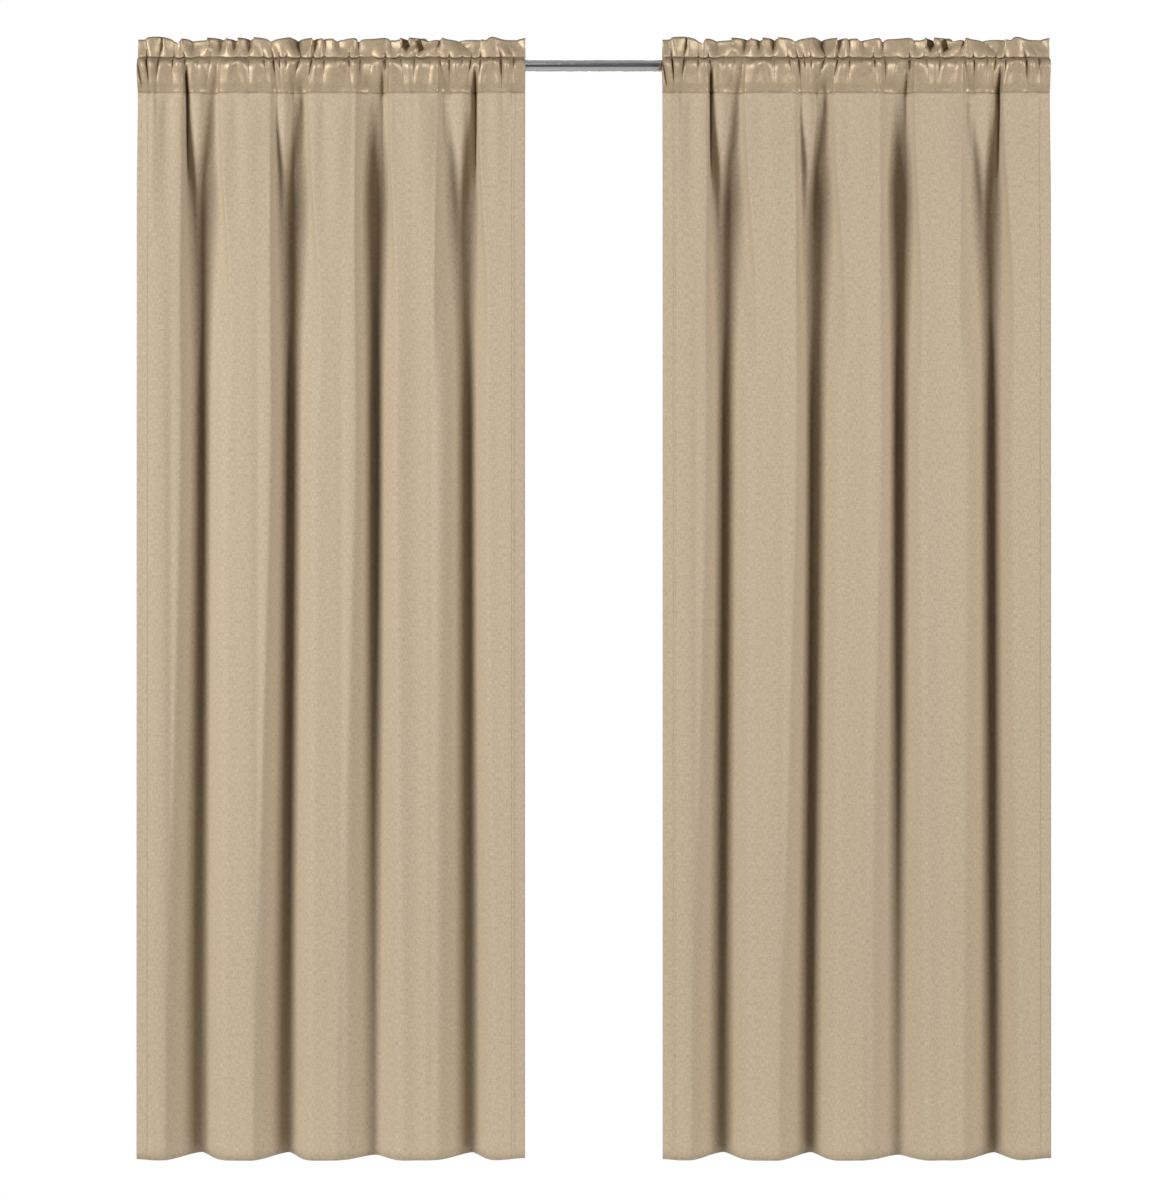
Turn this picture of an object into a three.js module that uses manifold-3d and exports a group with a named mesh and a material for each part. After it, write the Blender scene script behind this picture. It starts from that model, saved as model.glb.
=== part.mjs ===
// A pair of rod-pocket curtain panels on a spring tension rod, held between two walls.
// Millimetres. +X runs along the rod, -Y faces the room and +Z is up.
// The origin is the middle of the left end cap's wall face, on the rod's axis.

import * as THREE from 'three';
import { mergeVertices } from 'three/addons/utils/BufferGeometryUtils.js';
import Module from 'manifold-3d';

const wasm = await Module();
wasm.setup();

// ---------- driving dimensions ----------

const wallToWall = 1739;         // clear width that the rod spans
const gap = 0.3;                 // clearance between pieces that touch

// rod
const outerTubeDiameter = 22.2;
const outerTubeWall = 0.8;
const outerTubeLength = 1200;
const tubeClearance = 1.55;      // between the outer tube's bore and the inner tube
const innerTubeWall = 0.7;
const innerTubeLength = 1180;
const endCapWall = 0.9;          // round the outer tube
const endCapLength = 16;
const endCapFloor = 4;
const endPlugLength = 20;
const bushFlange = 2;
const bushSpigot = 14;

// lock and spring inside the rod
const spindleDiameter = 6;
const spindleHeadRim = 2;        // how far the head stands out round the spindle
const spindleHeadLength = 4;
const shoulderClearance = 1.05;  // between the spindle's shoulder and the inner tube's bore
const spindleShoulderLength = 4;
const camThrow = 1;              // offset of the eccentric pin, and of the cam on that pin
const camPinDiameter = 4.8;
const camPinRim = 1.6;           // how far the pin's button stands out
const camClearance = 0.2;        // cam to bore on the side where it grips
const camWidth = 12;
const collarClearance = 0.4;
const collarWidth = 9;
const springWire = 1.4;
const springLength = 123.4;      // as held between the shoulder and its seat
const springTurns = 10;
const seatWidth = 10;
const pushTravel = 25;           // how far the inner tube can be pushed in against the spring

// panels
const panelWidth = 737;          // as gathered on the rod
const edgeClearance = 2;         // from a wall to the panel's outer edge
const headerHeight = 38;
const pocketEase = 0.6;          // between an end cap and the pocket's inside
const pocketCloth = 1.5;
const pocketDrop = 52;           // rod axis down to the pocket's stitch line
const panelDrop = 2083;          // rod axis down to the bottom edge
const clothThickness = 1.8;
const hemThickness = 3.6;
const bottomHemHeight = 58;
const sideHemWidth = 25;
const threadWidth = 1.2;
const threadThickness = 0.8;
const stitchInset = 3;           // stitch line to the edge that it holds

// folds
const valleyCount = 4;
const valleyWidth = 70;          // at half its depth
const flankWidth = 50;
const foldDepthAtPocket = 26;
const foldDepthAtHem = 66;
const headerGatherDepth = 17;
const headerGathers = 13;

const roundSegments = 32;
const foldColumns = 54;
const foldRows = 5;

// ---------- materials ----------

const curtainCloth = { color: 0xb9a584, roughness: 0.62, metalness: 0 };
const sewingThread = { color: 0xa8926e, roughness: 0.7, metalness: 0 };
const satinNickel = { color: 0xa9a7a8, roughness: 0.32, metalness: 1 };
const capRubber = { color: 0xd9d6cf, roughness: 0.8, metalness: 0 };
const mouldedPlastic = { color: 0xe4e2dc, roughness: 0.5, metalness: 0 };
const springSteel = { color: 0x8d8f92, roughness: 0.35, metalness: 1 };

const curtains = new THREE.Group();

function addPiece(name, geometry, finish) {
  const mesh = new THREE.Mesh(geometry, new THREE.MeshStandardMaterial(finish));
  mesh.name = name;
  curtains.add(mesh);
  return mesh;
}

// ---------- shape helpers ----------

// A solid turned about the rod's axis. Each point is [radius, x].
function turned(points) {
  const profile = points.map(([radius, x]) => new THREE.Vector2(radius, x));
  const geometry = new THREE.LatheGeometry([...profile, profile[0]], roundSegments);
  return geometry.rotateZ(-Math.PI / 2);
}

function turnedRing(innerRadius, outerRadius, xStart, xEnd) {
  return turned([
    [innerRadius, xStart],
    [outerRadius, xStart],
    [outerRadius, xEnd],
    [innerRadius, xEnd],
  ]);
}

function rod(radius, xStart, xEnd, z = 0) {
  const geometry = new THREE.CylinderGeometry(radius, radius, xEnd - xStart, roundSegments);
  return geometry.rotateZ(-Math.PI / 2).translate((xStart + xEnd) / 2, 0, z);
}

function toSolid(geometry) {
  const bare = geometry.clone();
  bare.deleteAttribute('normal');
  bare.deleteAttribute('uv');
  const merged = mergeVertices(bare);
  return new wasm.Manifold(new wasm.Mesh({
    numProp: 3,
    vertProperties: merged.attributes.position.array,
    triVerts: merged.index.array,
  }));
}

function toGeometry(solid) {
  const mesh = solid.getMesh();
  const geometry = new THREE.BufferGeometry();
  geometry.setAttribute('position', new THREE.BufferAttribute(mesh.vertProperties, 3));
  geometry.setIndex(new THREE.BufferAttribute(mesh.triVerts, 1));
  geometry.computeVertexNormals();
  return geometry;
}

// ---------- rod ----------

const outerTubeRadius = outerTubeDiameter / 2;
const outerBoreRadius = outerTubeRadius - outerTubeWall;
const innerTubeRadius = outerBoreRadius - tubeClearance;
const innerBoreRadius = innerTubeRadius - innerTubeWall;
const outerTubeStart = endCapFloor + gap;
const outerTubeMouth = outerTubeStart + outerTubeLength;
const innerTubeEnd = wallToWall - endCapFloor - gap;
const innerTubeStart = innerTubeEnd - innerTubeLength;
const capRadius = outerTubeRadius + gap + endCapWall;

addPiece('outer_tube', turnedRing(outerBoreRadius, outerTubeRadius, outerTubeStart, outerTubeMouth), satinNickel);
addPiece('inner_tube', turnedRing(innerBoreRadius, innerTubeRadius, innerTubeStart, innerTubeEnd), satinNickel);

// A rubber cup over the tube's end. Its floor stands on the wall, and inward is +1 or -1 along X.
function addEndCap(name, wallX, inward, tubeRadius) {
  const rounding = 1;
  const points = [
    [0, wallX],
    [capRadius, wallX],
    [capRadius, wallX + inward * (endCapLength - rounding)],
    [capRadius - rounding, wallX + inward * endCapLength],
    [tubeRadius + gap, wallX + inward * endCapLength],
    [tubeRadius + gap, wallX + inward * endCapFloor],
    [0, wallX + inward * endCapFloor],
  ];
  addPiece(name, turned(inward > 0 ? points : points.reverse()), capRubber);
}

function addEndPlug(name, tubeEndX, inward, boreRadius) {
  const lead = 2;
  const points = [
    [0, tubeEndX],
    [boreRadius - gap, tubeEndX],
    [boreRadius - gap, tubeEndX + inward * (endPlugLength - lead)],
    [boreRadius - gap - lead, tubeEndX + inward * endPlugLength],
    [0, tubeEndX + inward * endPlugLength],
  ];
  addPiece(name, turned(inward > 0 ? points : points.reverse()), mouldedPlastic);
}

addEndCap('left_end_cap', 0, 1, outerTubeRadius);
addEndPlug('left_end_plug', outerTubeStart, 1, outerBoreRadius);
addEndCap('right_end_cap', wallToWall, -1, innerTubeRadius);
addEndPlug('right_end_plug', innerTubeEnd, -1, innerBoreRadius);

// A ring in the outer tube's mouth that the inner tube runs through.
addPiece('mouth_bush', turned([
  [innerTubeRadius + gap, outerTubeMouth - bushSpigot],
  [outerBoreRadius - gap, outerTubeMouth - bushSpigot],
  [outerBoreRadius - gap, outerTubeMouth + gap],
  [outerTubeRadius, outerTubeMouth + gap],
  [outerTubeRadius, outerTubeMouth + gap + bushFlange],
  [innerTubeRadius + gap, outerTubeMouth + gap + bushFlange],
]), mouldedPlastic);

// ---------- lock and spring, inside the tubes ----------

// From left to right: pin button, cam, collar, the inner tube's end, shoulder, spring, seat, head.
const spindleRadius = spindleDiameter / 2;
const camPinRadius = camPinDiameter / 2;
const camRadius = outerBoreRadius - 2 * camThrow - camClearance;
const collarEnd = innerTubeStart - pushTravel - gap;
const collarStart = collarEnd - collarWidth;
const spindleStart = collarStart - 1;
const camEnd = spindleStart - gap;
const camStart = camEnd - camWidth;
const pinButtonEnd = camStart - gap;
const pinButtonLength = 3;
const shoulderStart = innerTubeStart + 16;
const shoulderEnd = shoulderStart + spindleShoulderLength;
const seatStart = shoulderEnd + gap + springLength + gap;
const seatEnd = seatStart + seatWidth;
const headStart = seatEnd + gap;

const spindle = toSolid(rod(spindleRadius, spindleStart, headStart + spindleHeadLength))
  .add(toSolid(rod(innerBoreRadius - shoulderClearance, shoulderStart, shoulderEnd)))
  .add(toSolid(rod(spindleRadius + spindleHeadRim, headStart, headStart + spindleHeadLength)))
  .add(toSolid(rod(camPinRadius, pinButtonEnd - pinButtonLength, spindleStart + 1, -camThrow)))
  .add(toSolid(rod(camPinRadius + camPinRim, pinButtonEnd - pinButtonLength, pinButtonEnd, -camThrow)));
addPiece('lock_spindle', toGeometry(spindle), mouldedPlastic);

const collarRadius = outerBoreRadius - collarClearance;
addPiece('lock_collar', turnedRing(spindleRadius + gap, collarRadius, collarStart, collarEnd), mouldedPlastic);

const cam = toSolid(rod(camRadius, camStart, camEnd, -2 * camThrow))
  .subtract(toSolid(rod(camPinRadius + gap, camStart - 1, camEnd + 1, -camThrow)));
addPiece('lock_cam', toGeometry(cam), mouldedPlastic);

addPiece('spring_seat', turnedRing(spindleRadius + gap, innerBoreRadius - gap, seatStart, seatEnd), mouldedPlastic);

// The wire's middle runs half-way between the spindle and the inner tube's bore.
const springRadius = (spindleRadius + innerBoreRadius) / 2;
const springStart = shoulderEnd + gap + springWire / 2;
const springRun = springLength - springWire;

class Coil extends THREE.Curve {
  getPoint(t, target = new THREE.Vector3()) {
    const angle = 2 * Math.PI * springTurns * t;
    return target.set(springStart + springRun * t, springRadius * Math.cos(angle), springRadius * Math.sin(angle));
  }
}

const wireSection = new THREE.Shape().absarc(0, 0, springWire / 2, 0, 2 * Math.PI);
addPiece('tension_spring', new THREE.ExtrudeGeometry(wireSection, {
  extrudePath: new Coil(),
  steps: springTurns * 12,
  curveSegments: 6,
}), springSteel);

// ---------- panels ----------

const pocketRadius = capRadius + pocketEase + pocketCloth;
const headerBottom = pocketRadius + gap;
const dropTop = -pocketDrop - gap;
const hemTop = -panelDrop + bottomHemHeight;
const foldPitch = (panelWidth - valleyCount * valleyWidth) / (valleyCount + 1) + valleyWidth;
const firstValley = foldPitch - valleyWidth / 2;

// 0 on the front of a fold and 1 at the bottom of a valley, at a distance across the panel.
function valleyShare(across) {
  let share = 0;
  for (let i = 0; i < valleyCount; i += 1) {
    const fromMiddle = Math.abs(across - (firstValley + i * foldPitch));
    const t = THREE.MathUtils.clamp(0.5 + (valleyWidth / 2 - fromMiddle) / flankWidth, 0, 1);
    share = Math.max(share, t * t * (3 - 2 * t));
  }
  return share;
}

function foldDepth(z) {
  return THREE.MathUtils.mapLinear(z, -pocketDrop, -panelDrop, foldDepthAtPocket, foldDepthAtHem);
}

// The cloth's mid-surface below the pocket: folds stand forward of the rod's axis and behind it.
function foldY(across, z) {
  return foldDepth(z) * (valleyShare(across) - 0.5);
}

function gatherY(across) {
  return headerGatherDepth / 2 * Math.cos(2 * Math.PI * headerGathers * across / panelWidth);
}

// A flat strip pushed back and forth by shapeY(across, z), which keeps it closed.
function pleated(panelX, from, to, zLow, zHigh, thickness, shapeY, forward = 0) {
  const columns = Math.max(1, Math.round(foldColumns * (to - from) / panelWidth));
  const rows = zHigh - zLow > 500 ? foldRows : 1;
  const geometry = new THREE.BoxGeometry(to - from, thickness, zHigh - zLow, columns, 1, rows);
  geometry.translate((from + to) / 2, -forward, (zLow + zHigh) / 2);
  const position = geometry.attributes.position;
  for (let i = 0; i < position.count; i += 1) {
    position.setY(i, position.getY(i) + shapeY(position.getX(i), position.getZ(i)));
  }
  return geometry.translate(panelX, 0, 0);
}

// A sleeve round the rod, drawn together to the stitch line under it.
function pocketSleeve() {
  const sleeve = new THREE.Shape();
  const tail = Math.PI * 0.06;
  sleeve.absarc(0, 0, pocketRadius, -tail, Math.PI + tail);
  sleeve.lineTo(-pocketCloth, -pocketDrop);
  sleeve.lineTo(pocketCloth, -pocketDrop);
  const hollow = new THREE.Path();
  hollow.absarc(0, 0, pocketRadius - pocketCloth, -tail, Math.PI + tail);
  hollow.lineTo(0, -pocketDrop + 4);
  sleeve.holes.push(hollow);
  const geometry = new THREE.ExtrudeGeometry(sleeve, { depth: panelWidth, bevelEnabled: false, curveSegments: 16 });
  const alongRod = new THREE.Matrix4().makeBasis(
    new THREE.Vector3(0, 1, 0), new THREE.Vector3(0, 0, 1), new THREE.Vector3(1, 0, 0));
  return geometry.applyMatrix4(alongRod);
}

function addPanel(side, panelX, outerIsLeft) {
  const clothFrom = sideHemWidth + gap;
  const clothTo = panelWidth - sideHemWidth - gap;
  const threadForward = (cloth) => cloth / 2 + gap + threadThickness / 2;
  const edges = outerIsLeft ? ['outer', 'leading'] : ['leading', 'outer'];

  addPiece(`${side}_header_ruffle`, pleated(panelX, 0, panelWidth, headerBottom, headerBottom + headerHeight,
    hemThickness, gatherY), curtainCloth);
  addPiece(`${side}_header_stitching`, pleated(panelX, 0, panelWidth, headerBottom + 1,
    headerBottom + 1 + threadWidth, threadThickness, gatherY, threadForward(hemThickness)), sewingThread);
  addPiece(`${side}_rod_pocket`, pocketSleeve().translate(panelX, 0, 0), curtainCloth);

  addPiece(`${side}_drop_cloth`, pleated(panelX, clothFrom, clothTo, hemTop + gap, dropTop,
    clothThickness, foldY), curtainCloth);
  addPiece(`${side}_pocket_stitching`, pleated(panelX, clothFrom, clothTo, dropTop - stitchInset,
    dropTop - stitchInset + threadWidth, threadThickness, foldY, threadForward(clothThickness)), sewingThread);

  addPiece(`${side}_bottom_hem`, pleated(panelX, 0, panelWidth, -panelDrop, hemTop,
    hemThickness, foldY), curtainCloth);
  addPiece(`${side}_bottom_hem_stitching`, pleated(panelX, 0, panelWidth, hemTop - stitchInset,
    hemTop - stitchInset + threadWidth, threadThickness, foldY, threadForward(hemThickness)), sewingThread);

  const hemStarts = [0, panelWidth - sideHemWidth];
  const stitchStarts = [sideHemWidth - stitchInset, panelWidth - sideHemWidth + stitchInset - threadWidth];
  edges.forEach((edge, i) => {
    addPiece(`${side}_${edge}_side_hem`, pleated(panelX, hemStarts[i], hemStarts[i] + sideHemWidth,
      hemTop + gap, dropTop, hemThickness, foldY), curtainCloth);
    addPiece(`${side}_${edge}_hem_stitching`, pleated(panelX, stitchStarts[i], stitchStarts[i] + threadWidth,
      hemTop + gap, dropTop, threadThickness, foldY, threadForward(hemThickness)), sewingThread);
  });
}

addPanel('left', edgeClearance, true);
addPanel('right', wallToWall - edgeClearance - panelWidth, false);

export default curtains;
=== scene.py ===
import math

import bmesh
import bpy
import numpy as np
from mathutils import Matrix, Vector


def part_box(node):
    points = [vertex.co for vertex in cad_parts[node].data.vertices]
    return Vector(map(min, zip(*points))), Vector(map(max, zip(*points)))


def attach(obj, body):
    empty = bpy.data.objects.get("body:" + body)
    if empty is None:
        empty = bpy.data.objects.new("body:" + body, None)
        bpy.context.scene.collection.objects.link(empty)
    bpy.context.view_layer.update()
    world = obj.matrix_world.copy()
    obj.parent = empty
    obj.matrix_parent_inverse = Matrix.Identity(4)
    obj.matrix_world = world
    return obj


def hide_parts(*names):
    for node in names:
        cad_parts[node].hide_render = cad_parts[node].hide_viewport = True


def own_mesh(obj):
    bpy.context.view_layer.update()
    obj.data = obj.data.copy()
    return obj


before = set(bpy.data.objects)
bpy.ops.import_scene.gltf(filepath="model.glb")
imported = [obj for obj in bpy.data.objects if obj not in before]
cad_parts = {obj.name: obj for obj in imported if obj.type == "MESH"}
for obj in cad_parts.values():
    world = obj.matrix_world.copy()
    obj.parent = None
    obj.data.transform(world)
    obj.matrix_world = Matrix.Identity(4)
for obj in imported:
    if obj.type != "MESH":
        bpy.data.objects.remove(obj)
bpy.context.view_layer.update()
scene = bpy.context.scene
print("frame loaded")

# places taken from the frame

pocketLow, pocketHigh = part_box("left_rod_pocket")
headerLow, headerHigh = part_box("left_header_ruffle")
hemLow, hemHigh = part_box("left_bottom_hem")
sideHemLow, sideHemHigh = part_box("left_outer_side_hem")
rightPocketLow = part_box("right_rod_pocket")[0]
tubeLow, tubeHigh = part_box("outer_tube")

panel = {
    "left": pocketLow.x,
    "right": pocketHigh.x,
    "width": pocketHigh.x - pocketLow.x,
    "flatWidth": 1.067,        # cut width, before gathering
    "thickness": 0.0009,
    "headerTop": headerHigh.z,
    "seam": headerLow.z,
    "stitchLine": pocketLow.z,
    "hemLine": hemHigh.z,
    "bottom": hemLow.z,
    "sideHem": sideHemHigh.x - sideHemLow.x,
    "toRight": rightPocketLow.x - pocketLow.x,
}
rodRadius = (tubeHigh.z - tubeLow.z) / 2
headerHeight = panel["headerTop"] - panel["seam"]
pocketHeight = panel["seam"] - panel["stitchLine"]
dropLength = panel["stitchLine"] - panel["bottom"]


# small helpers

def smooth(t):
    t = np.clip(t, 0.0, 1.0)
    return t * t * (3 - 2 * t)


def mix(a, b, t):
    return a + (b - a) * t


def rampUp(distance, reach):
    # quickly up from 0, and 1 from reach on
    return math.sin(min(1.0, max(0.0, distance / reach)) * math.pi / 2)


def wander(x, seed, low, high, waves=5):
    # a smooth irregular line between about -1 and 1, with low to high turns over the panel
    phases = np.random.default_rng(seed).uniform(0, 2 * math.pi, waves)
    turns = np.linspace(low, high, waves)
    return sum(np.sin(2 * math.pi * n * x + phase) for n, phase in zip(turns, phases)) / waves ** 0.5


def newPiece(name, bm):
    mesh = bpy.data.meshes.new(name)
    bm.to_mesh(mesh)
    bm.free()
    piece = bpy.data.objects.new(name, mesh)
    scene.collection.objects.link(piece)
    for face in mesh.polygons:
        face.use_smooth = True
    return piece


def meshCopy(piece):
    bm = bmesh.new()
    bm.from_mesh(piece.data)
    return bm


# the folds

folds = {
    # start, deepest place, end and depth of each valley just under the pocket, where it has settled and at
    # the hem, as shares of the panel's width and of the full depth; the higher a walls number, the more the
    # pleat under the pocket is like a box, and the higher a curves number, the more gradually a fold's front
    # turns into the valley; a tongue is where the cloth in the pleat comes forward between the pleat's walls
    "valleys": [
        {"start": (0.117, 0.112, 0.075), "deep": (0.168, 0.163, 0.161), "end": (0.213, 0.242, 0.238),
         "depth": (0.9, 1.0, 1.05), "walls": (6, 8), "curves": (1.0, 1.5), "tongue": (0.150, 0.75)},
        {"start": (0.344, 0.345, 0.300), "deep": (0.400, 0.389, 0.387), "end": (0.441, 0.472, 0.454),
         "depth": (1.0, 1.0, 1.05), "walls": (6, 6), "curves": (1.0, 1.5), "tongue": (0.374, 0.7)},
        {"start": (0.561, 0.562, 0.515), "deep": (0.624, 0.613, 0.612), "end": (0.650, 0.670, 0.695),
         "depth": (1.0, 0.92, 0.72), "walls": (3, 5), "curves": (1.1, 1.3), "tongue": (0.578, 0.2)},
        {"start": (0.774, 0.766, 0.740), "deep": (0.864, 0.856, 0.862), "end": (0.879, 0.906, 0.926),
         "depth": (1.0, 0.97, 1.0), "walls": (5, 5), "curves": (1.5, 1.4), "tongue": (0.832, 0.7)},
    ],
    "tongueTo": 0.15,
    "creases": [(0.125, 0.016), (0.396, 0.004), (0.632, 0.005), (0.871, 0.014)],   # place and depth
    "boxedTo": 0.32,
    "settledBy": 0.22,         # share of the drop over which a valley finds its lower place
    "creaseWidth": 0.0045,
    "creaseTo": 0.18,
    "grooves": [0.087, 0.311, 0.528, 0.760],   # soft creases down the fronts of the folds
    "grooveDepth": 0.0024,
    "grooveWidth": 0.011,
    "depthAtStitch": 0.021,
    "depthUnder": 0.058,
    "depthAtHem": 0.068,
    "gatherDepth": 0.0030,
    "gatherFade": 0.030,
    "rippleDepth": 0.0022,
    "wedgeDepth": 0.0035,
    "hemLift": 0.007,          # how much higher the hem is in a valley
    "leftLift": 0.002,         # and at the panel's lower left and right corners
    "rightLift": 0.004,
}
heading = {
    "pocketRows": 28,
    "ruffleRows": 18,
    "ease": 0.0008,            # rod to cloth
    "capEase": 0.0018,         # more room near the ends, for the rod's end caps
    "layers": 0.0008,          # half the distance between the two layers where they are sewn
    "pocketFullness": 1.07,    # cloth to room for it, which makes the gathers
    "ruffleFullness": 1.02,
    "scallop": 0.0060,         # how far the gathers pull the seam up and down
    "pocketGather": 0.0120,
    "foldOut": 0.0120,         # how far the fronts of the folds stand off the rod
}
ruffle = {
    "folds": 15,
    "depth": 0.0105,
    "lean": 0.0085,            # how far a fold leans over the next
    "puff": 0.0100,            # how far the cloth bulges just above the seam
    "notches": [(0.100, 0.012), (0.350, 0.006), (0.575, 0.006),
                (0.664, 0.005), (0.757, 0.010), (0.900, 0.005)],
    "notchWidth": 0.010,
    "uneven": 0.0020,
}
fineU = np.linspace(0, 1, 2401)
edgeCalm = smooth(np.minimum(fineU, 1 - fineU) / 0.045)     # the side hems stay flat


def along(keys, t):
    # a valley's number at t, from just under the pocket to where it has settled and on to the hem
    upper, middle, hemmed = keys
    return mix(mix(upper, middle, smooth(t / folds["settledBy"])), hemmed, smooth((t - 0.25) / 0.75))


def valleyShare(t):
    # 0 on the front of a fold and 1 at the bottom of a valley, at a share t of the way down the drop
    share = np.zeros_like(fineU)
    boxed = 1 - smooth(t / folds["boxedTo"])
    for valley in folds["valleys"]:
        start, deep, end, depth = (along(valley[key], t) for key in ("start", "deep", "end", "depth"))
        leftOfDeep = fineU < deep
        s = np.where(leftOfDeep, (fineU - start) / (deep - start), (end - fineU) / (end - deep))
        s = np.clip(s, 0, 1)
        walled = 1 - (1 - s) ** np.where(leftOfDeep, *valley["walls"])
        curved = s ** np.where(leftOfDeep, *valley["curves"])
        place, size = valley["tongue"]
        width = mix(0.026, 0.006, smooth(t / folds["tongueTo"]))
        tongue = size * (1 - smooth(t / folds["tongueTo"])) * np.exp(-((fineU - place) / width) ** 2)
        rounded = mix(smooth(curved), curved, 0.35)
        share = np.maximum(share, depth * (1 - tongue) * mix(rounded, walled, boxed))
    return share


def foldDepth(t):
    under = mix(folds["depthAtStitch"], folds["depthUnder"], smooth(t / 0.11))
    return mix(under, folds["depthAtHem"], smooth(t / 0.9) ** 0.6)


def creases(t):
    # the pleats' sharp inner creases, which end part of the way down
    depth = 0
    for at, deep in folds["creases"]:
        depth = depth + deep * np.exp(-np.abs((fineU - at) / folds["creaseWidth"]) ** 1.5)
    return depth * (1 - smooth(t / folds["creaseTo"]))


gatherLine = 30 * fineU + 0.5 * wander(fineU, 3, 1, 5) + 0.22 * wander(fineU, 4, 6, 12)
gatherTilt = 0.55 * wander(fineU, 14, 3, 9)
gatherSize = np.clip(0.85 + 0.4 * wander(fineU, 8, 2, 13), 0.3, 1.3)
# how far down the pocket a gather goes
gatherReach = np.clip(0.50 + 0.24 * wander(fineU, 12, 4, 17), 0.2, 1.0)


def gathersAt(down, sharp):
    # 0 in a crease between two gathers and about 1 on a gather, down the pocket's share under the seam
    return np.abs(np.sin(math.pi * (gatherLine + gatherTilt * down))) ** sharp * gatherSize


def dropY(t):
    y = foldDepth(t) * (valleyShare(t) - 0.5) + creases(t)
    groove = sum(np.exp(-((fineU - at) / folds["grooveWidth"]) ** 2) for at in folds["grooves"])
    y = y + folds["grooveDepth"] * groove * smooth((t - 0.06) / 0.3)
    y = y + folds["rippleDepth"] * edgeCalm * wander(fineU, 5, 3, 10) * smooth(t / 0.3)
    wedges = folds["wedgeDepth"] * edgeCalm * wander(fineU, 6, 6, 17)
    y = y + wedges * smooth(t / 0.01) * (1 - smooth(t / 0.17))
    y = y - heading["layers"] * (1 - smooth(t / 0.02))
    gathers = folds["gatherDepth"] * edgeCalm * gathersAt(1.0, 0.9)
    return y - gathers * math.exp(-t / folds["gatherFade"])


# cloth grids

def laidRow(x, y, z, count):
    # count points along one row of cloth, with the same length of cloth between each two
    along = np.concatenate([[0], np.cumsum(np.hypot(np.diff(x), np.diff(y)))])
    at = np.linspace(0, along[-1], count)
    return np.stack([np.interp(at, along, part) for part in (x, y, z)], 1), along[-1]


def clothGrid(name, columns, rows, placeRow):
    # a grid whose rows are laid out one by one, with its place on the flat cloth as its UV map
    bm = bmesh.new()
    bmesh.ops.create_grid(bm, x_segments=columns, y_segments=rows, size=0.5, calc_uvs=True)
    bm.verts.ensure_lookup_table()
    spot = [(round((v.co.x + 0.5) * columns), round((0.5 - v.co.y) * rows)) for v in bm.verts]
    places, widths = zip(*[placeRow(row, rows, columns + 1) for row in range(rows + 1)])
    steps = [np.linalg.norm(lower - upper, axis=1).mean() for upper, lower in zip(places, places[1:])]
    down = np.concatenate([[0], np.cumsum(steps)])
    uvMap = bm.loops.layers.uv.verify()
    for face in bm.faces:
        for loop in face.loops:
            column, row = spot[loop.vert.index]
            loop[uvMap].uv = (column / columns * panel["flatWidth"], down[-1] - down[row])
    order = np.zeros((rows + 1, columns + 1), int)
    for vertex, (column, row) in zip(bm.verts, spot):
        vertex.co = places[row][column]
        order[row, column] = vertex.index
    # each point's place on the flat cloth, cut wide enough for its gathers
    rests = [(column / columns * widths[row], 0, -down[row]) for column, row in spot]
    return {"piece": newPiece(name, bm), "rests": rests, "order": order, "length": down[-1]}


# drop: the cloth under the pocket

def dropRow(row, rows, count):
    t = (row / rows) ** 1.3
    x = panel["left"] + fineU * panel["width"]
    lift = folds["hemLift"] * valleyShare(t) + folds["rightLift"] * smooth((fineU - 0.92) / 0.08)
    lift = lift + folds["leftLift"] * smooth(1 - fineU / 0.05)
    z = mix(panel["stitchLine"] - 0.0002, panel["bottom"] + 0.003, t) + lift * smooth((t - 0.8) / 0.2)
    places, length = laidRow(x, dropY(t), z, count)
    return places, length * mix(1.05, 1.0, smooth(t / 0.12))


drop = clothGrid("drop", 290, 120, dropRow)
print("drop laid out")

# heading: the pocket and the ruffle over it, turned to the back in one piece

def pocketRow(z, side):
    # the pocket's front (side -1) or back (side 1) layer, round the rod and down to the stitch line
    atEnds = heading["capEase"] * smooth(1.6 - np.minimum(fineU, 1 - fineU) / 0.05)
    around = rodRadius + heading["ease"]
    leaves = around ** 2 / panel["seam"]       # the height where the cloth leaves the rod for the seam
    if z > leaves:
        risen = (z - leaves) / (panel["seam"] - leaves)
        reach = mix(math.sqrt(around ** 2 - leaves ** 2), heading["layers"], risen)
    elif z > 0:
        reach = math.sqrt(around ** 2 - z ** 2)
    else:
        opened = math.sin((1 - z / panel["stitchLine"]) * math.pi / 2) ** 1.3
        reach = mix(heading["layers"], around, opened)
    down = (panel["seam"] - z) / pocketHeight
    sewn = rampUp(panel["seam"] - z, 0.003) * rampUp(z - panel["stitchLine"], 0.018)
    share = valleyShare(0.0)
    outward = 0.5 + 0.5 * side * (2 * share - 1)
    gather = gathersAt(down, mix(0.6, 1.0, down))
    fan = heading["pocketGather"] * np.exp(-(down / gatherReach) ** 2) * gather
    lower = 0.0022 * wander(fineU, 31, 5, 19) * smooth(down * 2) + 0.0020 * gather
    fold = heading["foldOut"] * math.sin(math.pi * down ** 0.6) * outward
    y = side * (reach + sewn * (atEnds + fan + lower + fold))
    y = side * np.maximum(side * y, np.sqrt(np.maximum(0, (around + atEnds) ** 2 - z ** 2)))
    y = y + smooth((down - 0.4) / 0.6) * folds["depthAtStitch"] * (share - 0.5)
    y = y + creases(0.0) * smooth((down - 0.2) / 0.4)
    if side < 0:
        y = y - (1 - rampUp(z - panel["stitchLine"], 0.012)) * folds["gatherDepth"] * edgeCalm * gather
    return panel["left"] + fineU * panel["width"], y, np.full_like(fineU, z)


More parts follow.
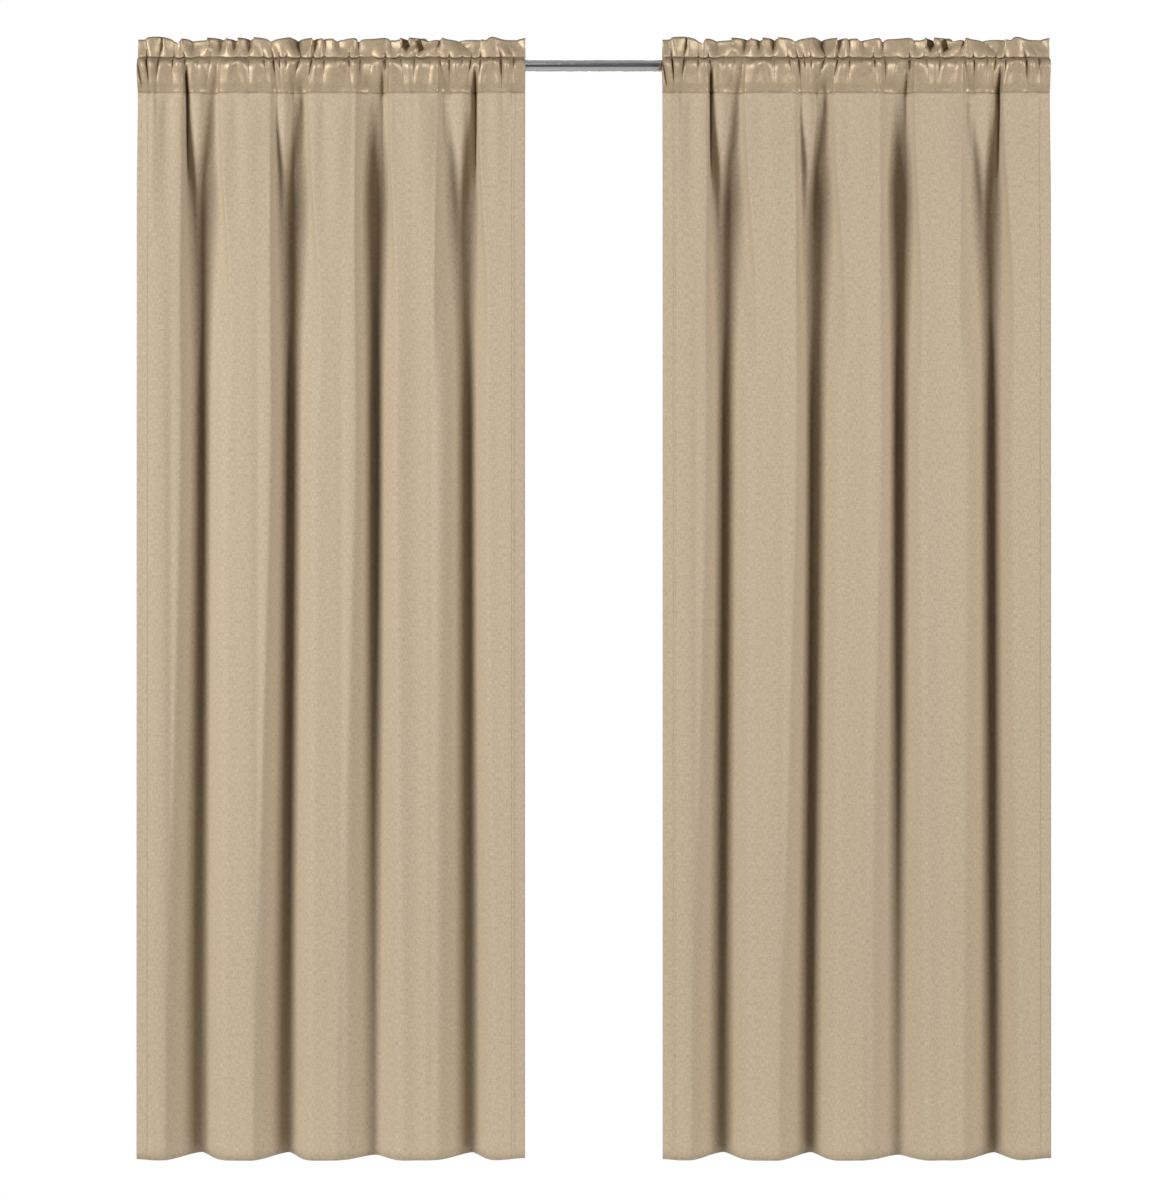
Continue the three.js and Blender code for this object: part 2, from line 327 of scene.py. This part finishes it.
def ruffleRow(z, side):
    rise = (z - panel["seam"]) / headerHeight
    hold = smooth(np.minimum(fineU, 1 - fineU) / 0.02)
    phase = math.pi * (ruffle["folds"] * fineU + 0.8 * wander(fineU, 21, 1, 5))
    size = np.clip(0.85 + 0.45 * wander(fineU, 23, 2, 9), 0.3, 1.5)
    lobe = np.abs(np.sin(phase + 0.5 * rise * wander(fineU, 24, 2, 7))) ** 0.75
    opening = smooth(rise * 1.4)
    y = side * heading["layers"] + ruffle["depth"] * size * opening * (1 - 2 * lobe) * (0.3 + 0.7 * hold)
    y = y + 0.010 * smooth(rise) * (valleyShare(0.0) - 0.5)
    bulge = ruffle["puff"] * (0.15 + 0.85 * gathersAt(0.0, 0.6)) * math.exp(-(rise / 0.45) ** 2)
    y = y + side * rampUp(rise, 0.06) * bulge
    leaning = ruffle["lean"] * size * np.sin(2 * phase + 0.9 * wander(fineU, 25, 1, 4))
    leaning = leaning * smooth(rise * 1.25)
    notch = 0
    for at, deep in ruffle["notches"]:
        notch = notch + deep * np.exp(-np.abs((fineU - at) / ruffle["notchWidth"]) ** 1.3)
    uneven = ruffle["uneven"] * wander(fineU, 27, 3, 14) + notch + 0.0045 * size * (1 - lobe) ** 2
    x = panel["left"] + fineU * panel["width"] + leaning * hold
    return x, y, z - uneven * rise ** 2


def headingRow(row, rows, count):
    pocketRows, ruffleRows = heading["pocketRows"], heading["ruffleRows"]
    side = 1 if row <= rows // 2 else -1
    fromEdge = min(row, rows - row)
    if fromEdge <= pocketRows:                 # rows get closer towards the seam
        z = mix(panel["seam"], panel["stitchLine"], (1 - fromEdge / pocketRows) ** 1.3)
        x, y, z = pocketRow(z, side)
        fullness = heading["pocketFullness"]
    else:
        up = ((fromEdge - pocketRows) / ruffleRows) ** 1.3
        z = mix(panel["seam"], panel["headerTop"] - 0.001, up)
        x, y, z = ruffleRow(z, side)
        fullness = heading["ruffleFullness"]
    near = np.exp(-((z - panel["seam"]) / 0.007) ** 2)
    calm = smooth((np.minimum(fineU, 1 - fineU) - 0.03) / 0.06)
    z = z - heading["scallop"] * near * (np.clip(gathersAt(0.0, 0.7), 0, 1) - 0.5) * calm
    places, length = laidRow(x, y, z, count)
    return places, length * fullness


headingRows = 2 * (heading["pocketRows"] + heading["ruffleRows"])
head = clothGrid("heading", 500, headingRows, headingRow)
print("heading laid out")

# the cloth settles round the rod and under its own weight

drape = {
    "quality": 5,
    "mass": 0.2,
    "stretch": 20,
    "shear": 6,
    "damping": 8,
    "air": 2,
    "gap": 0.0006,             # cloth to the rod
    "headingFrames": 18,
    "dropFrames": 10,
    "ruffleHold": 0.6,         # how firmly points keep their place, from 0 to 1
    "pocketHold": 0.3,
    "edgeHold": 0.6,
    "dropHold": 0.25,
}


def settle(cloth, hold, frames, obstacles=(), gravity=1.0, bending=0.5):
    # hold(point) says how firmly each point keeps its place, from 0 to 1
    piece = cloth["piece"]
    held = piece.vertex_groups.new(name="held")
    for vertex in piece.data.vertices:
        held.add([vertex.index], hold(vertex.co), "REPLACE")
    piece.shape_key_add(name="laid")
    flat = piece.shape_key_add(name="flat")
    for point, rest in zip(flat.data, cloth["rests"]):
        point.co = rest
    for obstacle in obstacles:
        obstacle.modifiers.new("obstacle", "COLLISION")
        obstacle.collision.thickness_outer = drape["gap"]
    sim = piece.modifiers.new("settle", "CLOTH")
    sim.settings.quality = drape["quality"]
    sim.settings.mass = drape["mass"]
    sim.settings.tension_stiffness = drape["stretch"]
    sim.settings.compression_stiffness = drape["stretch"]
    sim.settings.shear_stiffness = drape["shear"]
    sim.settings.bending_stiffness = bending
    sim.settings.tension_damping = drape["damping"]
    sim.settings.compression_damping = drape["damping"]
    sim.settings.shear_damping = drape["damping"]
    sim.settings.air_damping = drape["air"]
    sim.settings.vertex_group_mass = "held"
    sim.settings.rest_shape_key = flat
    sim.settings.effector_weights.gravity = gravity
    sim.collision_settings.use_collision = bool(obstacles)
    sim.collision_settings.distance_min = drape["gap"]
    sim.point_cache.frame_start = 1
    sim.point_cache.frame_end = frames
    for step in range(1, frames + 1):
        scene.frame_set(step)
    evaluated = piece.evaluated_get(bpy.context.evaluated_depsgraph_get())
    settled = bpy.data.meshes.new_from_object(evaluated)
    piece.modifiers.remove(sim)
    piece.vertex_groups.clear()
    laid = piece.data
    piece.data = settled
    bpy.data.meshes.remove(laid)
    settled.name = piece.name
    scene.frame_set(1)


def rodObstacle():
    bm = bmesh.new()
    middle = (panel["left"] + panel["right"]) / 2
    ends = rodRadius + heading["capEase"]
    for x, length, radius in ((middle, panel["width"] + 0.1, rodRadius), (panel["left"], 0.08, ends),
                              (panel["right"], 0.08, ends)):
        place = Matrix.Translation((x, 0, 0)) @ Matrix.Rotation(math.pi / 2, 4, "Y")
        bmesh.ops.create_cone(bm, cap_ends=True, segments=32, radius1=radius, radius2=radius,
                              depth=length, matrix=place)
    return newPiece("obstacle", bm)


def holdHeading(point):
    if point.z - panel["stitchLine"] < 0.001:
        return 1.0
    if abs(point.z - panel["seam"]) < 0.003 and abs(point.y) < 0.0012:
        return 1.0
    return drape["ruffleHold"] if point.z > panel["seam"] else drape["pocketHold"]


def holdDrop(point):
    edge = min(point.x - panel["left"], panel["right"] - point.x)
    if point.z > panel["stitchLine"] - 0.001:
        return 1.0
    return drape["edgeHold"] if edge < 0.03 else drape["dropHold"]


rod = rodObstacle()
settle(head, holdHeading, drape["headingFrames"], [rod], gravity=0.3, bending=0.12)
bpy.data.objects.remove(rod)
print("heading settled")
settle(drop, holdDrop, drape["dropFrames"], gravity=0.4, bending=0.4)
print("drop settled")

# hems: the cloth turned to the back and sewn

hem = {
    "layers": 0.0012,          # front layer to turned-up layer
    "inset": 0.003,            # a hem's stitching to its inner edge
}


def cutOut(name, cloth, low, high, behind=0.0):
    # a copy of the part of a cloth between two corners, some way behind it
    bm = meshCopy(cloth["piece"])
    for place, normal in ((low, (-1, 0, 0)), (low, (0, 0, -1)), (high, (1, 0, 0)), (high, (0, 0, 1))):
        geometry = bm.verts[:] + bm.edges[:] + bm.faces[:]
        bmesh.ops.bisect_plane(bm, geom=geometry, dist=1e-5, plane_co=place, plane_no=normal,
                               clear_outer=True)
    bm.normal_update()
    shifts = [(v, v.normal * -behind) for v in bm.verts]
    for vertex, shift in shifts:
        vertex.co += shift
    return newPiece(name, bm)


def panelParts(leading):
    # the drop and the heading in two parts each, one of them the hemmed strip at its leading edge, which
    # moves with the hand that draws it, and the two hems behind the drop's other part
    left, right, bottom, top = panel["left"] - 0.02, panel["right"] + 0.02, panel["bottom"] - 0.01, 0.1
    leftInner, rightInner = panel["left"] + panel["sideHem"], panel["right"] - panel["sideHem"]
    overHem = panel["hemLine"] + 0.0005
    if leading == "right":
        drawn, strip, outer = (left, rightInner), (rightInner, right), (left, leftInner)
    else:
        drawn, strip, outer = (leftInner, right), (left, leftInner), (rightInner, right)
    parts = {
        "heading": cutOut("heading", head, (drawn[0], 0, bottom), (drawn[1], 0, top)),
        "leading_heading": cutOut("end", head, (strip[0], 0, bottom), (strip[1], 0, top)),
        "drop": cutOut("drop", drop, (drawn[0], 0, bottom), (drawn[1], 0, top)),
        "turned_hem": cutOut("hem", drop, (drawn[0], 0, bottom), (drawn[1], 0, panel["hemLine"]),
                             hem["layers"]),
        "outer_turned_edge": cutOut("outer", drop, (outer[0], 0, overHem), (outer[1], 0, top),
                                    hem["layers"]),
        "leading_edge": cutOut("front", drop, (strip[0], 0, bottom), (strip[1], 0, top)),
    }
    back = cutOut("back", drop, (strip[0], 0, bottom), (strip[1], 0, top), hem["layers"])
    bm = bmesh.new()
    bm.from_mesh(parts["leading_edge"].data)
    bm.from_mesh(back.data)
    bm.to_mesh(parts["leading_edge"].data)
    bm.free()
    bpy.data.objects.remove(back)
    return parts


# stitching

thread = {"pitch": 0.0036, "length": 0.0028, "width": 0.0005, "lift": 0.0005}


def stitches(name, line, normals):
    # small threads along a line of points on the cloth
    along = np.concatenate([[0], np.cumsum(np.linalg.norm(np.diff(line, axis=0), axis=1))])
    bm = bmesh.new()
    for k in range(int(along[-1] / thread["pitch"])):
        at = (k + 0.5) * thread["pitch"]
        before, place, after, up = (
            Vector([np.interp(d, along, part[:, i]) for i in range(3)])
            for d, part in ((at - 0.001, line), (at, line), (at + 0.001, line), (at, normals)))
        ahead = (after - before).normalized()
        up = (up - ahead * up.dot(ahead)).normalized()
        turn = Matrix((ahead, up.cross(ahead), up)).transposed().to_4x4()
        size = Matrix.Diagonal((thread["length"] / 2, thread["width"] / 2, thread["width"] / 2, 1))
        bmesh.ops.create_icosphere(bm, subdivisions=1, radius=1.0,
                                   matrix=Matrix.Translation(place + up * thread["lift"]) @ turn @ size)
    return newPiece(name, bm)


def rowLine(cloth, row, side=1):
    # points and outward normals along a row of the grid, which may be between two rows
    mesh = cloth["piece"].data
    low, share = int(row), row - int(row)
    lines = []
    for near in (low, min(low + 1, len(cloth["order"]) - 1)):
        chosen = [mesh.vertices[i] for i in cloth["order"][near]]
        lines.append((np.array([v.co for v in chosen]), np.array([v.normal for v in chosen])))
    points, normals = (mix(first, second, share) for first, second in zip(*lines))
    return points + normals * side * panel["thickness"] / 2, normals * side


def columnLine(cloth, column):
    mesh = cloth["piece"].data
    chosen = [mesh.vertices[i] for i in cloth["order"][:, column]]
    normals = np.array([v.normal for v in chosen])
    return np.array([v.co for v in chosen]) + normals * panel["thickness"] / 2, normals


def rowAt(cloth, z):
    heights = [cloth["piece"].data.vertices[i].co.z for i in cloth["order"][:, 0]]
    return float(np.interp(-z, [-h for h in heights], range(len(heights))))


def columnAt(cloth, x):
    row = cloth["order"][len(cloth["order"]) // 2]
    return int(np.argmin([abs(cloth["piece"].data.vertices[i].co.x - x) for i in row]))


def between(line, low, high):
    points, normals = line
    kept = (points[:, 0] > low) & (points[:, 0] < high)
    return points[kept], normals[kept]


def panelStitches(leading):
    inset = hem["inset"]
    leftLine, rightLine = panel["left"] + panel["sideHem"], panel["right"] - panel["sideHem"]
    low, high = (-math.inf, rightLine) if leading == "right" else (leftLine, math.inf)
    stripLow, stripHigh = (rightLine, math.inf) if leading == "right" else (-math.inf, leftLine)
    leftColumn = columnLine(drop, columnAt(drop, leftLine - inset))
    rightColumn = columnLine(drop, columnAt(drop, rightLine + inset))
    outerLine, leadingLine = leftColumn, rightColumn
    if leading == "left":
        outerLine, leadingLine = rightColumn, leftColumn
    seamLine = rowLine(head, headingRows - heading["pocketRows"])
    pocketLine = rowLine(head, headingRows - 1)
    hemLine = rowLine(drop, rowAt(drop, panel["hemLine"] - inset))
    return {
        "seam_stitches": stitches("seam", *between(seamLine, low, high)),
        "leading_seam_stitches": stitches("seamEnd", *between(seamLine, stripLow, stripHigh)),
        "pocket_stitches": stitches("pocket", *between(pocketLine, low, high)),
        "leading_pocket_stitches": stitches("pocketEnd", *between(pocketLine, stripLow, stripHigh)),
        "hem_stitches": stitches("hem", *between(hemLine, low, high)),
        "outer_edge_stitches": stitches("outer", *outerLine),
        "leading_edge_stitches": stitches("leading", *leadingLine),
    }


# finishes

def nodeFinish(name):
    finish = bpy.data.materials.new(name)
    finish.use_nodes = True
    tree = finish.node_tree
    return finish, tree.nodes, tree.links, tree.nodes["Principled BSDF"]


def noiseLayer(nodes, links, source, scale, detail, low, high):
    # stretched noise as a number between low and high
    place = nodes.new("ShaderNodeMapping")
    place.inputs["Scale"].default_value = scale
    links.new(source, place.inputs["Vector"])
    noise = nodes.new("ShaderNodeTexNoise")
    noise.inputs["Scale"].default_value = 1.0
    noise.inputs["Detail"].default_value = detail
    links.new(place.outputs["Vector"], noise.inputs["Vector"])
    level = nodes.new("ShaderNodeMapRange")
    level.inputs["From Min"].default_value = 0.25
    level.inputs["From Max"].default_value = 0.75
    level.inputs["To Min"].default_value = low
    level.inputs["To Max"].default_value = high
    links.new(noise.outputs["Fac"], level.inputs["Value"])
    return level.outputs["Result"]


def multiply(nodes, links, first, second):
    node = nodes.new("ShaderNodeMath")
    node.operation = "MULTIPLY"
    links.new(first, node.inputs[0])
    links.new(second, node.inputs[1])
    return node.outputs["Value"]


weave = {
    # noise scale on the flat cloth, then the lowest and highest level
    "warp": ((520, 120, 1), 0.82, 1.17),
    "weft": ((90, 560, 1), 0.90, 1.10),
    "drift": ((14, 1.1, 1), 0.0, 1.0),
    "rib": ((1900, 220, 1), 0.0, 1.0),
    "bump": 0.35,
    "bumpHeight": 0.0002,
    "specular": 0.2,
}


def weaveLayer(nodes, links, flat, layer, detail):
    # one of the weave's noises, on the flat cloth
    scale, low, high = weave[layer]
    return noiseLayer(nodes, links, flat, scale, detail, low, high)


def blackoutCloth(name, roughness, metallic, firstTan, secondTan):
    # satin-faced blackout cloth: long warp slubs, short weft ones, and a slow drift between two tans
    finish, nodes, links, shader = nodeFinish(name)
    flat = nodes.new("ShaderNodeUVMap").outputs["UV"]
    warp = weaveLayer(nodes, links, flat, "warp", 3)
    weft = weaveLayer(nodes, links, flat, "weft", 2)
    yarn = multiply(nodes, links, warp, weft)
    drift = weaveLayer(nodes, links, flat, "drift", 2)
    tans = nodes.new("ShaderNodeMix")
    tans.data_type = "RGBA"
    tans.inputs["A"].default_value = (*firstTan, 1)
    tans.inputs["B"].default_value = (*secondTan, 1)
    links.new(drift, tans.inputs["Factor"])
    shade = nodes.new("ShaderNodeVectorMath")
    shade.operation = "SCALE"
    links.new(tans.outputs["Result"], shade.inputs[0])
    links.new(yarn, shade.inputs["Scale"])
    links.new(shade.outputs["Vector"], shader.inputs["Base Color"])
    rib = weaveLayer(nodes, links, flat, "rib", 1)
    bump = nodes.new("ShaderNodeBump")
    bump.inputs["Strength"].default_value = weave["bump"]
    bump.inputs["Distance"].default_value = weave["bumpHeight"]
    links.new(multiply(nodes, links, rib, yarn), bump.inputs["Height"])
    links.new(bump.outputs["Normal"], shader.inputs["Normal"])
    shader.inputs["Roughness"].default_value = roughness
    shader.inputs["Specular IOR Level"].default_value = weave["specular"]
    shader.inputs["Metallic"].default_value = metallic
    return finish


def plainFinish(name, color, roughness, metallic=0.0, grain=(900, 900, 900), variation=0.08,
                bumpHeight=0.00005):
    # one colour with a fine grain in its lightness, roughness and surface
    finish, nodes, links, shader = nodeFinish(name)
    here = nodes.new("ShaderNodeTexCoord").outputs["Object"]
    level = noiseLayer(nodes, links, here, grain, 3, 1 - variation, 1 + variation)
    tint = nodes.new("ShaderNodeVectorMath")
    tint.operation = "SCALE"
    tint.inputs[0].default_value = color
    links.new(level, tint.inputs["Scale"])
    links.new(tint.outputs["Vector"], shader.inputs["Base Color"])
    rough = nodes.new("ShaderNodeMath")
    rough.operation = "MULTIPLY"
    rough.inputs[1].default_value = roughness
    links.new(level, rough.inputs[0])
    links.new(rough.outputs["Value"], shader.inputs["Roughness"])
    bump = nodes.new("ShaderNodeBump")
    bump.inputs["Strength"].default_value = 0.4
    bump.inputs["Distance"].default_value = bumpHeight
    links.new(level, bump.inputs["Height"])
    links.new(bump.outputs["Normal"], shader.inputs["Normal"])
    shader.inputs["Metallic"].default_value = metallic
    return finish


dropFinish = blackoutCloth("blackoutCloth", 0.6, 0.0, (0.452, 0.372, 0.258), (0.468, 0.369, 0.262))
# the heading is the same cloth as the drop, but its tans are darker and browner: painted shade for its deep
# gathers and creases
headingFinishPaintedShade = blackoutCloth("gatheredSatinPaintedShade", 0.42, 0.25, (0.415, 0.328, 0.215), (0.430, 0.326, 0.218))
threadFinish = plainFinish("sewingThread", (0.40, 0.31, 0.20), 0.6, grain=(3000, 3000, 3000))
nickelFinish = plainFinish("satinNickel", (0.62, 0.60, 0.60), 0.24, 1.0, grain=(6, 900, 900), variation=0.04)
rubberFinish = plainFinish("capRubber", (0.60, 0.58, 0.54), 0.75)
plasticFinish = plainFinish("mouldedPlastic", (0.74, 0.73, 0.69), 0.45)
wireFinish = plainFinish("springWire", (0.45, 0.46, 0.47), 0.3, 1.0, grain=(400, 400, 400))

# both panels: what each piece replaces, rides on and is

hemHeight = panel["hemLine"] - panel["bottom"]
drawnFlat = panel["flatWidth"] - panel["sideHem"]
# a piece's CAD nodes, the size of its flat cloth and how it hangs, its stitching, and whether it goes with
# the leading edge when the panel is drawn back
clothPieces = {
    "heading": {
        "nodes": ["rod_pocket", "header_ruffle"], "flat": (drawnFlat, head["length"]),
        "held": "gathered", "sewn": ["seam_stitches", "pocket_stitches"], "leads": False},
    "leading_heading": {
        "nodes": ["rod_pocket", "header_ruffle"], "flat": (panel["sideHem"], head["length"]),
        "held": "gathered", "sewn": ["leading_seam_stitches", "leading_pocket_stitches"], "leads": True},
    "drop": {
        "nodes": ["drop_cloth"], "flat": (drawnFlat, dropLength), "held": "gathered",
        "sewn": ["hem_stitches", "outer_edge_stitches"], "leads": False},
    "turned_hem": {
        "nodes": ["bottom_hem"], "flat": (drawnFlat, hemHeight), "held": "gathered",
        "sewn": [], "leads": False},
    "outer_turned_edge": {
        "nodes": ["outer_side_hem"], "flat": (panel["sideHem"], dropLength - hemHeight), "held": "hung",
        "sewn": [], "leads": False},
    "leading_edge": {
        "nodes": ["leading_side_hem"], "flat": (2 * panel["sideHem"], dropLength), "held": "hung",
        "sewn": ["leading_edge_stitches"], "leads": True},
}
threadPieces = {
    "seam_stitches": {"nodes": ["header_stitching"], "leads": False},
    "leading_seam_stitches": {"nodes": ["header_stitching"], "leads": True},
    "pocket_stitches": {"nodes": ["pocket_stitching"], "leads": False},
    "leading_pocket_stitches": {"nodes": ["pocket_stitching"], "leads": True},
    "hem_stitches": {"nodes": ["bottom_hem_stitching"], "leads": False},
    "outer_edge_stitches": {"nodes": ["outer_hem_stitching"], "leads": False},
    "leading_edge_stitches": {"nodes": ["leading_hem_stitching"], "leads": True},
}


def hang(piece, name, side, entry, finish):
    piece.name = piece.data.name = f"{side}_{name}"
    if side == "right":
        piece.data.transform(Matrix.Translation((panel["toRight"], 0, 0)))
    piece.data.materials.append(finish)
    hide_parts(*[f"{side}_{node}" for node in entry["nodes"]])
    if entry["leads"]:
        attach(piece, f"{side}_leading_edge")
    else:
        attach(piece, f"{side}_panel")
        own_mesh(piece)


for side in ("left", "right"):
    leading = "right" if side == "left" else "left"      # the edge that is drawn along the rod
    sewn = panelStitches(leading)
    for name, entry in threadPieces.items():
        hang(sewn[name], name, side, entry, threadFinish)
    parts = panelParts(leading)
    for name, entry in clothPieces.items():
        piece = parts[name]
        finish = headingFinishPaintedShade if "heading" in name else dropFinish
        hang(piece, name, side, entry, finish)
        wall = piece.modifiers.new("thickness", "SOLIDIFY")
        wall.thickness = panel["thickness"]
        wall.offset = 0
for cloth in (head, drop):
    bpy.data.objects.remove(cloth["piece"])
print("panels hung")

# rod

def turnedPiece(name, profile, steps=64):
    # a closed profile of (x, radius) points turned about the rod's axis
    bm = bmesh.new()
    corners = [bm.verts.new((x, 0, radius)) for x, radius in profile]
    edges = [bm.edges.new((corners[i - 1], corners[i])) for i in range(len(corners))]
    bmesh.ops.spin(bm, geom=corners + edges, cent=(0, 0, 0), axis=(1, 0, 0), angle=2 * math.pi,
                   steps=steps, use_merge=True)
    bmesh.ops.remove_doubles(bm, verts=bm.verts, dist=1e-6)
    bmesh.ops.recalc_face_normals(bm, faces=bm.faces)
    piece = newPiece(name, bm)
    edge = piece.modifiers.new("edge", "BEVEL")
    edge.width = 0.0002
    edge.segments = 2
    edge.limit_method = "ANGLE"
    return piece


def tube(name, node, wall):
    low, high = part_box(node)
    outer = (high.z - low.z) / 2
    inner = outer - wall
    piece = turnedPiece(name, [(low.x, inner), (low.x, outer), (high.x, outer), (high.x, inner)])
    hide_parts(node)
    piece.data.materials.append(nickelFinish)
    return piece


tubeWalls = {"outer": 0.0008, "inner": 0.0007}
outerTube = tube("rod_outer_tube", "outer_tube", tubeWalls["outer"])
innerTube = tube("rod_inner_tube", "inner_tube", tubeWalls["inner"])
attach(outerTube, "rod")
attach(innerTube, "inner_rod")

cap = {"floor": 0.004, "rounding": 0.0012, "clearance": 0.0003}


def endCap(name, node, tubeNode, inward, body):
    low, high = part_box(node)
    tubeLowest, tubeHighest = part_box(tubeNode)
    wall = low.x if inward > 0 else high.x
    length = high.x - low.x
    outer = (high.z - low.z) / 2
    bore = (tubeHighest.z - tubeLowest.z) / 2 + cap["clearance"]
    r = cap["rounding"]
    profile = [(wall + inward * cap["floor"], bore), (wall + inward * length, bore),
               (wall + inward * length, outer - r)]
    profile += [(wall + inward * (length - r + r * math.cos(a)), outer - r + r * math.sin(a))
                for a in np.linspace(0, math.pi / 2, 5)[1:]]
    profile += [(wall, outer), (wall, 0.0), (wall + inward * cap["floor"], 0.0)]
    piece = turnedPiece(name, profile, 48)
    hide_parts(node)
    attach(piece, body)
    piece.data.materials.append(rubberFinish)
    return piece


endCap("rod_left_cap", "left_end_cap", "outer_tube", 1, "rod")
endCap("rod_right_cap", "right_end_cap", "inner_tube", -1, "inner_rod")

spring = {"turns": 10, "wire": 0.0007, "ends": 0.0003, "push": 0.025}


def coilSpring():
    low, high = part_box("tension_spring")
    coil = (high.z - low.z) / 2 - spring["wire"]
    start, end = low.x + spring["ends"] + spring["wire"], high.x - spring["ends"] - spring["wire"]
    bm = bmesh.new()
    steps = spring["turns"] * 24
    place = Matrix.Translation((start, 0, coil)) @ Matrix.Rotation(math.pi / 2, 4, "X")
    bmesh.ops.create_circle(bm, segments=10, radius=spring["wire"], matrix=place)
    bmesh.ops.spin(bm, geom=bm.verts[:] + bm.edges[:], cent=(0, 0, 0), axis=(1, 0, 0),
                   dvec=((end - start) / steps, 0, 0), angle=2 * math.pi * spring["turns"], steps=steps)
    bmesh.ops.holes_fill(bm, edges=[e for e in bm.edges if e.is_boundary], sides=20)
    bmesh.ops.recalc_face_normals(bm, faces=bm.faces)
    piece = newPiece("rod_spring", bm)
    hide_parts("tension_spring")
    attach(piece, "lock")
    piece.data.materials.append(wireFinish)
    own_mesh(piece)


coilSpring()
for name in ("left_end_plug", "right_end_plug", "mouth_bush", "lock_spindle", "lock_collar", "lock_cam",
             "spring_seat"):
    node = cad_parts[name]
    node.data.materials.clear()
    node.data.materials.append(plasticFinish)
print("rod made")

# camera, lights and floor

view = {"distance": 8.0, "frameHeight": 2.286, "x": panel["left"] + 0.8555, "z": -1.0175}
camera = bpy.data.objects.new("camera", bpy.data.cameras.new("camera"))
scene.collection.objects.link(camera)
camera.location = (view["x"], -view["distance"], view["z"])
camera.rotation_euler = (math.pi / 2, 0, 0)
camera.data.sensor_fit = "VERTICAL"
camera.data.sensor_height = 24
camera.data.lens = camera.data.sensor_height * view["distance"] / view["frameHeight"]
scene.camera = camera


# place, width, height, power, the height that the lamp points at, and its beam's spread in degrees
lamps = {
    "leftLight": ((-5.0, -4.4, -0.4), 3.4, 2.4, 176, -0.6, 100),
    "rightLight": ((6.7, -4.4, -0.4), 3.4, 2.4, 134, -0.6, 100),
    "frontLight": ((0.3, -5.0, 3.0), 2.0, 1.4, 20, view["z"], 180),
    "backLight": ((0.87, 4.5, 0.5), 2.6, 2.6, 260, view["z"], 180),
}


def softBox(name, place, width, height, energy, aimHeight, spread):
    lamp = bpy.data.objects.new(name, bpy.data.lights.new(name, "AREA"))
    lamp.data.shape = "RECTANGLE"
    lamp.data.size = width
    lamp.data.size_y = height
    lamp.data.energy = energy
    lamp.location = place
    ahead = Vector((view["x"], 0, aimHeight)) - Vector(place)
    lamp.rotation_euler = ahead.to_track_quat("-Z", "Y").to_euler()
    lamp.data.spread = math.radians(spread)
    lamp.visible_camera = False
    scene.collection.objects.link(lamp)


for name, lamp in lamps.items():
    softBox(name, *lamp)

world = bpy.data.worlds.new("studio")
scene.world = world
world.use_nodes = True
nodes, links = world.node_tree.nodes, world.node_tree.links
nodes.clear()
output = nodes.new("ShaderNodeOutputWorld")
choose = nodes.new("ShaderNodeMixShader")
rays = nodes.new("ShaderNodeLightPath")
backdrop = nodes.new("ShaderNodeBackground")
backdrop.inputs["Color"].default_value = (1, 1, 1, 1)
ambient = nodes.new("ShaderNodeBackground")
ambient.inputs["Strength"].default_value = 0.04
# what shiny metal reflects: pale above and below, with a dark band at eye height
reflected = nodes.new("ShaderNodeBackground")
direction = nodes.new("ShaderNodeTexCoord")
split = nodes.new("ShaderNodeSeparateXYZ")
bands = nodes.new("ShaderNodeValToRGB")
bands.color_ramp.elements[0].position = 0.18
bands.color_ramp.elements[0].color = (0.80, 0.80, 0.80, 1)
bands.color_ramp.elements[1].position = 0.96
bands.color_ramp.elements[1].color = (0.60, 0.60, 0.62, 1)
for position, color in ((0.34, (0.05, 0.06, 0.08, 1)), (0.84, (0.12, 0.13, 0.16, 1))):
    bands.color_ramp.elements.new(position).color = color
height = nodes.new("ShaderNodeMapRange")
height.inputs["From Min"].default_value = -1
chooseShiny = nodes.new("ShaderNodeMixShader")
links.new(direction.outputs["Generated"], split.inputs["Vector"])
links.new(split.outputs["Z"], height.inputs["Value"])
links.new(height.outputs["Result"], bands.inputs["Fac"])
links.new(bands.outputs["Color"], reflected.inputs["Color"])
reflected.inputs["Strength"].default_value = 0.8
links.new(rays.outputs["Is Glossy Ray"], chooseShiny.inputs[0])
links.new(ambient.outputs[0], chooseShiny.inputs[1])
links.new(reflected.outputs[0], chooseShiny.inputs[2])
links.new(rays.outputs["Is Camera Ray"], choose.inputs[0])
links.new(chooseShiny.outputs[0], choose.inputs[1])
links.new(backdrop.outputs[0], choose.inputs[2])
links.new(choose.outputs[0], output.inputs["Surface"])

bm = bmesh.new()
bmesh.ops.create_grid(bm, x_segments=1, y_segments=1, size=1)
place = Matrix.Translation((view["x"], -0.2, panel["bottom"] - 0.27))
place = place @ Matrix.Diagonal((1.1, 0.4, 1, 1))
bmesh.ops.transform(bm, matrix=place, verts=bm.verts)
floor = newPiece("floor", bm)
floorFinish = plainFinish("paleFloor", (0.86, 0.86, 0.85), 0.7, grain=(30, 30, 30), variation=0.01)
floor.data.materials.append(floorFinish)
scene.view_settings.view_transform = "Standard"
print("studio set")
